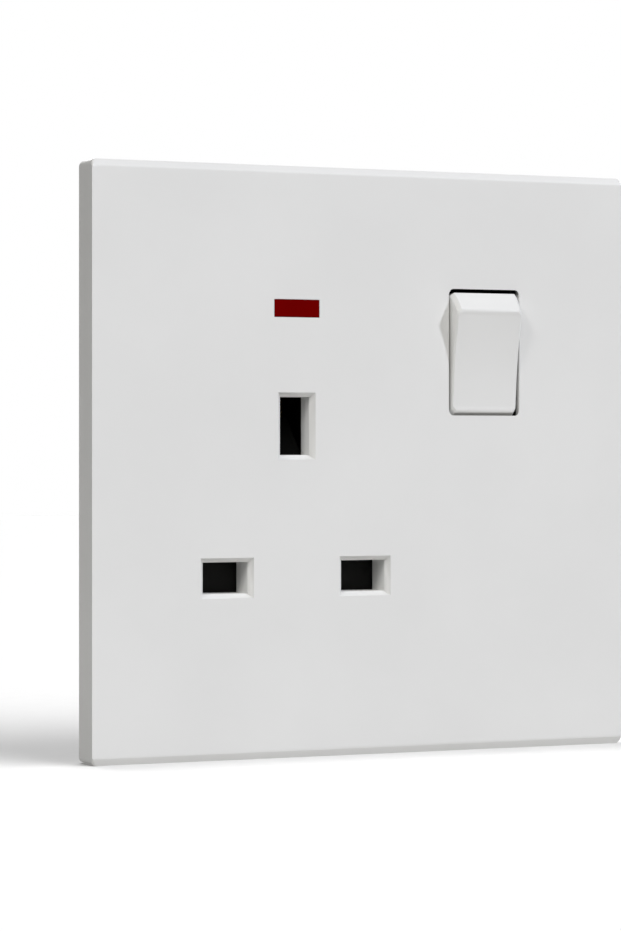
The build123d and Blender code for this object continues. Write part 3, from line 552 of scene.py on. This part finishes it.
# Thick dipped lacquer on ceramic: glossy, a little wavy, with painted bands.
finishes["resistor_body"] = banded_lacquer()
print(len(finishes), "finishes for", len(set(slot_of_node.values())), "slots")

# %% [markdown]
# ## Soft crease on the plate
# Along its top and bottom the plate's face turns back into a shallow bevel. The crease between them
# isn't sharp, so the light fades across it. A bevel modifier set by angle would round the slots' edges
# by as much, so the crease alone is treated: the mesh is cut a little to each side of it, and the crease
# is drawn back onto a round.

# %% Round the plate's crease
CREASE_REACH = 0.35 * MM
CREASE_DRAW = 0.045 * MM
TOUCH = 0.01 * MM


def soften_crease(form):
    front = min(vertex.co.y for vertex in form.verts)
    crease = max(vertex.co.z for vertex in form.verts if vertex.co.y < front + TOUCH)
    for height in (crease - CREASE_REACH, crease + CREASE_REACH):
        for side in (-1, 1):
            everything = form.verts[:] + form.edges[:] + form.faces[:]
            level = (0, 0, side * height)
            bmesh.ops.bisect_plane(form, geom=everything, plane_co=level, plane_no=(0, 0, 1))
    for vertex in form.verts:
        if vertex.co.y < front + TOUCH and abs(vertex.co.z) > crease - TOUCH:
            vertex.co.y += CREASE_DRAW


print("crease rounded over", round(2 * CREASE_REACH / MM, 2), "mm")

# %% [markdown]
# ## Draft on the rocker
# A moulding only comes out of its tool if its sides lean a little. On the rocker the lean shows, because
# light from the left falls along it: the face is narrower than the foot, and its corners are tight. The
# function below leans the sides in from a line behind the face and draws the corner cuts closer,
# measured in the rocker's own frame: along its depth, across its width, and round the axis on which it
# tips.

# %% Lean the rocker's sides
rocker_joint = next(joint for joint in frame["joints"] if joint["name"] == "rocker_tilt")
# At rest the rocker is at one end of its travel, which is half of the travel from the middle.
REST_TILT = radians(-rocker_joint["range_deg"][0] / 2)
DRAFT = 0.3 * MM
DRAFT_DEPTH = 3.0 * MM
# The solid's corner cuts measure CORNER_CUT, and they are made less by CORNER_LESS. Points within
# CORNER_NEAR of a corner belong to its cut.
CORNER_CUT = 1.0 * MM
CORNER_LESS = 0.45 * MM
CORNER_NEAR = 1.26 * CORNER_CUT
pivot = Vector(rocker_joint["pos_m"])
rocker_back = Vector((0, cos(REST_TILT), sin(REST_TILT)))
rocker_up = Vector((0, -sin(REST_TILT), cos(REST_TILT)))


def lean_rocker(form):
    front = min((vertex.co - pivot).dot(rocker_back) for vertex in form.verts)
    start = front + DRAFT_DEPTH
    everything = form.verts[:] + form.edges[:] + form.faces[:]
    line = pivot + rocker_back * start
    bmesh.ops.bisect_plane(form, geom=everything, plane_co=line, plane_no=rocker_back)
    forward = [vertex for vertex in form.verts if (vertex.co - pivot).dot(rocker_back) < start]
    half_width = max(abs(vertex.co.x - pivot.x) for vertex in forward)
    end_reach = max((vertex.co - pivot).yz.length for vertex in forward)
    foremost = min(vertex.co.y for vertex in forward)
    for vertex in forward:
        place = vertex.co - pivot
        from_side = half_width - abs(place.x)
        from_end = end_reach - place.yz.length
        corner = from_side + from_end
        if corner < CORNER_NEAR:
            closer = CORNER_LESS / corner
            along = place.dot(rocker_up)
            vertex.co.x += copysign(closer * from_side, place.x)
            vertex.co += rocker_up * closer * from_end * place.yz.length / along
        share = (start - place.dot(rocker_back)) / DRAFT_DEPTH
        vertex.co.x -= (vertex.co.x - pivot.x) * share * DRAFT / half_width
        vertex.co.y = max(vertex.co.y, foremost)


print("rocker tips about", [round(c / MM, 2) for c in pivot], "mm")
print("and is tipped by", round(degrees(REST_TILT), 2), "degrees at rest")

# %% [markdown]
# ## Rounded edges
# No moulded or stamped edge is truly sharp: the tool leaves a small radius, and that radius is what
# catches the light along an edge. Each solid listed below is copied, its flat facets are joined again,
# and its outward edges are rounded by the radius its process leaves. A weighted normal keeps the flats
# flat while the roundings stay smooth.


# %% Hang a piece on the body of its solid
def add_piece(name, mesh, node):
    piece = bpy.data.objects.new(name, mesh)
    scene.collection.objects.link(piece)
    mesh.materials.clear()
    mesh.materials.append(finishes[slot_of_node[node]])
    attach(piece, body_of_node[node])
    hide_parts(node)
    return piece


print(len(slot_of_node), "solids can be replaced")

# %% Round the outward edges of a solid
WELD = 0.002 * MM
FLAT_ANGLE = radians(0.5)
EDGE_ANGLE = radians(25)
SHARP_ANGLE = radians(32)


def rounded(node, radius_mm, segments, reshape=None):
    form = bmesh.new()
    form.from_mesh(nodes[node].data)
    bmesh.ops.remove_doubles(form, verts=form.verts, dist=WELD)
    bmesh.ops.dissolve_limit(form, angle_limit=FLAT_ANGLE, verts=form.verts, edges=form.edges)
    if reshape:
        reshape(form)
    edges = [edge for edge in form.edges if edge.is_convex and edge.calc_face_angle(0) > EDGE_ANGLE]
    bmesh.ops.bevel(
        form,
        geom=edges,
        offset=radius_mm * MM,
        offset_type="OFFSET",
        segments=segments,
        profile=0.5,
        affect="EDGES",
        clamp_overlap=True,
    )
    for face in form.faces:
        face.smooth = True
    mesh = bpy.data.meshes.new(node + "_rounded")
    form.to_mesh(mesh)
    form.free()
    mesh.set_sharp_from_angle(angle=SHARP_ANGLE)
    piece = add_piece(node + "_rounded", mesh, node)
    flatten = piece.modifiers.new("flat_faces", "WEIGHTED_NORMAL")
    flatten.weight = 100
    flatten.keep_sharp = True
    return piece


print("points closer than", round(WELD / MM, 4), "mm are joined")

# %% Round the solids
# For each solid: the radius in mm, the steps across it and, for two, what reshapes the solid first.
ROUNDING = {
    "front_plate": (0.10, 3, soften_crease),
    "rocker": (0.20, 3, lean_rocker),
    "neon_lens": (0.06, 2),
    "mounting_frame": (0.15, 2),
    "rear_housing": (0.20, 2),
    "shutter": (0.15, 2),
    "switch_plunger": (0.15, 3),
    "housing_screws": (0.12, 2),
    "terminal_screws": (0.12, 2),
    "neutral_terminal": (0.15, 2),
    "line_terminal": (0.15, 2),
    "earth_terminal": (0.15, 2),
    "neutral_contact": (0.08, 2),
    "line_contact": (0.08, 2),
    "earth_contact": (0.08, 2),
    "fixing_eyelets": (0.15, 2),
    "earth_strap": (0.06, 2),
    "line_bar": (0.08, 2),
    "fixed_contact": (0.08, 2),
    "fixed_rivet": (0.18, 3),
    "contact_fulcrum": (0.08, 2),
    "moving_contact": (0.08, 2),
    "moving_rivet": (0.18, 3),
}
for node, sizes in ROUNDING.items():
    piece = rounded(node, *sizes)
    print(node, len(piece.data.polygons), "faces")

# %% [markdown]
# ## Springs
# Both springs are coiled from drawn wire, and their end turns lie closed so that they press squarely. A
# swept solid only sketches that. A curve along the wire's middle, given a round section, makes an even
# tube, and a loop can lay its points along a helix whose pitch is tight in the first and the last turn.


# %% A wire along a route
def wire_mesh(name, routes, radius):
    line = bpy.data.curves.new(name, "CURVE")
    line.dimensions = "3D"
    line.bevel_depth = radius
    line.bevel_resolution = 3
    line.use_fill_caps = True
    for route in routes:
        spline = line.splines.new("NURBS")
        spline.points.add(len(route) - 1)
        for point, place in zip(spline.points, route):
            point.co = (*place, 1)
        spline.order_u = 3
        spline.use_endpoint_u = True
        spline.resolution_u = 4
    shape = bpy.data.objects.new(name + "_line", line)
    mesh = bpy.data.meshes.new_from_object(shape)
    bpy.data.objects.remove(shape)
    for face in mesh.polygons:
        face.use_smooth = True
    return mesh


up = Vector((0, 0, 1))
print("coils stand on", tuple(up), "or in the rocker on", [round(c, 3) for c in rocker_back])

# %% A coil of wire
COIL_STEPS = 16


def coil(name, node, axis, turns, wire_r):
    spots = [vertex.co for vertex in nodes[node].data.vertices]
    low = Vector(map(min, zip(*spots)))
    high = Vector(map(max, zip(*spots)))
    middle = (low + high) / 2
    along = [(spot - middle).dot(axis) for spot in spots]
    across = [((spot - middle) - axis * (spot - middle).dot(axis)).length for spot in spots]
    foot = middle + axis * (min(along) + wire_r)
    radius = max(across) - wire_r
    # Each closed turn rises by a wire's width, and half a width stands past each end: three widths in all.
    rise = (max(along) - min(along) - 6 * wire_r) / (turns - 2)
    side = axis.orthogonal().normalized()
    other = axis.cross(side)
    route = []
    for i in range(turns * COIL_STEPS + 1):
        turn = i / COIL_STEPS
        closed = min(turn, 1) + max(turn - turns + 1, 0)
        height = 2 * wire_r * closed + rise * max(min(turn, turns - 1) - 1, 0)
        around = side * cos(2 * pi * turn) + other * sin(2 * pi * turn)
        route.append(foot + axis * height + around * radius)
    return add_piece(name, wire_mesh(name, [route], wire_r), node)


print("a turn has", COIL_STEPS, "points")

# %% Both springs
SHUTTER_TURNS = 9
SHUTTER_WIRE_R = 0.15 * MM
PLUNGER_TURNS = 6
PLUNGER_WIRE_R = 0.2 * MM
shutter_coil = coil("shutter_coil", "shutter_spring", up, SHUTTER_TURNS, SHUTTER_WIRE_R)
coil("plunger_coil", "plunger_spring", rocker_back, PLUNGER_TURNS, PLUNGER_WIRE_R)

low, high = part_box("shutter_spring")
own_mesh(shutter_coil)

# %% [markdown]
# ## Neon lamp
# The lamp is a little glass tube drawn to a tip at one end, with two metal rods that stand side by side
# and don't touch: the gas between them glows. Glass needs an inside as well as an outside, or light
# would bend in it as in a solid rod. Both walls are turned from one profile, and the inner one faces the
# other way.


# %% Turned forms
TURN_STEPS = 36
TURNED_SHARP = radians(50)


def turned_form(form, foot, axis, profile, inside=False):
    side = axis.orthogonal().normalized()
    other = axis.cross(side)
    turns = [2 * pi * i / TURN_STEPS for i in range(TURN_STEPS)]
    spokes = [side * cos(turn) + other * sin(turn) for turn in turns]
    rings = []
    for along, radius in profile:
        centre = foot + axis * along * MM
        rings.append([form.verts.new(centre + spoke * radius * MM) for spoke in spokes])
    faces = [form.faces.new(rings[0][::-1]), form.faces.new(rings[-1])]
    for first, second in zip(rings, rings[1:]):
        for i in range(TURN_STEPS):
            j = (i + 1) % TURN_STEPS
            faces.append(form.faces.new((first[i], first[j], second[j], second[i])))
    for face in faces:
        face.smooth = True
        if inside:
            face.normal_flip()


def turned_mesh(form, name):
    mesh = bpy.data.meshes.new(name)
    form.to_mesh(mesh)
    form.free()
    mesh.set_sharp_from_angle(angle=TURNED_SHARP)
    return mesh


print("turned forms have", TURN_STEPS, "sides")

# %% The bulb
GLASS_MM = 0.35
TIP_GLASS_MM = 2 * GLASS_MM
SEAL_GLASS_MM = 4 * GLASS_MM
TIP_TURNS = (0, 0.4, 0.8, 1.2, pi / 2)
TIP_R_MM = 0.1
# The sealed end, in shares of the radius: how far before the end, and how wide there.
SEAL_SHARES = ((0.5, 1.0), (0.15, 0.8), (0, 0.45))
lamp_low, lamp_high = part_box("neon_lamp")
lamp_middle = (lamp_low + lamp_high) / 2
lamp_l = (lamp_high[0] - lamp_low[0]) / MM
lamp_r = (lamp_high[2] - lamp_low[2]) / 2 / MM
right = Vector((1, 0, 0))
lamp_foot = Vector((lamp_low[0], lamp_middle[1], lamp_middle[2]))


def bulb_profile(radius, start, end):
    tip = [(start + radius * (1 - cos(turn)), max(radius * sin(turn), TIP_R_MM)) for turn in TIP_TURNS]
    seal = [(end - radius * before, radius * wide) for before, wide in SEAL_SHARES]
    return tip + seal


bulb = bmesh.new()
turned_form(bulb, lamp_foot, right, bulb_profile(lamp_r, 0, lamp_l))
inner_profile = bulb_profile(lamp_r - GLASS_MM, TIP_GLASS_MM, lamp_l - SEAL_GLASS_MM)
turned_form(bulb, lamp_foot, right, inner_profile, inside=True)
add_piece("neon_bulb", turned_mesh(bulb, "neon_bulb"), "neon_lamp")
print("bulb", round(lamp_l, 1), "mm long,", round(2 * lamp_r, 1), "mm across")

# %% The electrodes
ROD_R = 0.28 * MM
ROD_OFFSET = 0.6 * MM
ROD_LAP = 1.5 * MM
ROD_INSET = 0.4 * MM
ROD_STRAIGHT = 1.5 * MM
ROD_CRANK = 1.0 * MM
rods = []
for end, way in ((lamp_low[0], 1), (lamp_high[0], -1)):
    offset = Vector((0, 0, way * ROD_OFFSET))
    start = Vector((end + way * ROD_INSET, lamp_middle[1], lamp_middle[2]))
    bend = start + right * way * ROD_STRAIGHT
    tip = Vector((lamp_middle[0] + way * ROD_LAP, lamp_middle[1], lamp_middle[2])) + offset
    rods.append([start, bend, bend + right * way * ROD_CRANK + offset, tip])
add_piece("neon_electrodes", wire_mesh("neon_electrodes", rods, ROD_R), "neon_leads")
print(len(rods), "electrodes", round(2 * ROD_OFFSET / MM, 2), "mm apart")

# %% [markdown]
# ## Resistor and leads
# The resistor is dipped, so its lacquer swells over the end caps and thins between them, like a small
# bone. Its leads and the lamp's are bare tinned wire, bent by hand over pliers: straight runs with small
# round bends.

# %% Resistor body
low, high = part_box("neon_resistor")
body_l = (high[2] - low[2]) / MM
body_r = (high[0] - low[0]) / 2 / MM
# Half of the body's outline, as shares of its length and of its radius.
HALF_BONE = [(0, 0.3), (0.02, 0.7), (0.06, 0.92), (0.12, 1.0), (0.19, 1.0), (0.26, 0.86), (0.4, 0.82)]
bone = HALF_BONE + [(1 - along, radius) for along, radius in HALF_BONE[::-1]]
body = bmesh.new()
body_foot = Vector(((low[0] + high[0]) / 2, (low[1] + high[1]) / 2, low[2]))
turned_form(body, body_foot, up, [(along * body_l, radius * body_r) for along, radius in bone])
add_piece("resistor_body", turned_mesh(body, "resistor_body"), "neon_resistor")
print("resistor", round(body_l, 1), "mm long,", round(2 * body_r, 1), "mm across")

# %% Bent leads
LEAD_R = 0.28 * MM
LEAD_BEND = 1.2 * MM
LEAD_LOW = 5.0 * MM
LEAD_BACK_Y = 14.0 * MM
bar_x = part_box("neon_leads")[1][0] - LEAD_R
jaw_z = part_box("neutral_contact")[1][2]
bar_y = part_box("line_bar")[0][1]
lead_x, lead_y = body_foot[0], body_foot[1]
lamp_z = lamp_middle[2]


def bent(corners):
    route = [corners[0]]
    for before, corner, after in zip(corners, corners[1:], corners[2:]):
        into = (corner - before).normalized() * LEAD_BEND
        out = (after - corner).normalized() * LEAD_BEND
        route += [corner - into, corner, corner + out]
    return route + [corners[-1]]


runs = [
    [(lamp_low[0], lead_y, lamp_z), (lead_x, lead_y, lamp_z), (lead_x, lead_y, high[2])],
    [
        (lead_x, lead_y, low[2]),
        (lead_x, lead_y, jaw_z + LEAD_LOW),
        (lead_x, LEAD_BACK_Y, jaw_z + LEAD_LOW),
        (lead_x, LEAD_BACK_Y, jaw_z),
    ],
    [(lamp_high[0], lead_y, lamp_z), (bar_x, lead_y, lamp_z), (bar_x, bar_y, lamp_z)],
]
routes = [bent([Vector(corner) for corner in run]) for run in runs]
leads = add_piece("neon_leads_bent", wire_mesh("neon_leads_bent", routes, LEAD_R), "neon_leads")
print(len(routes), "leads of", len(leads.data.polygons), "faces")
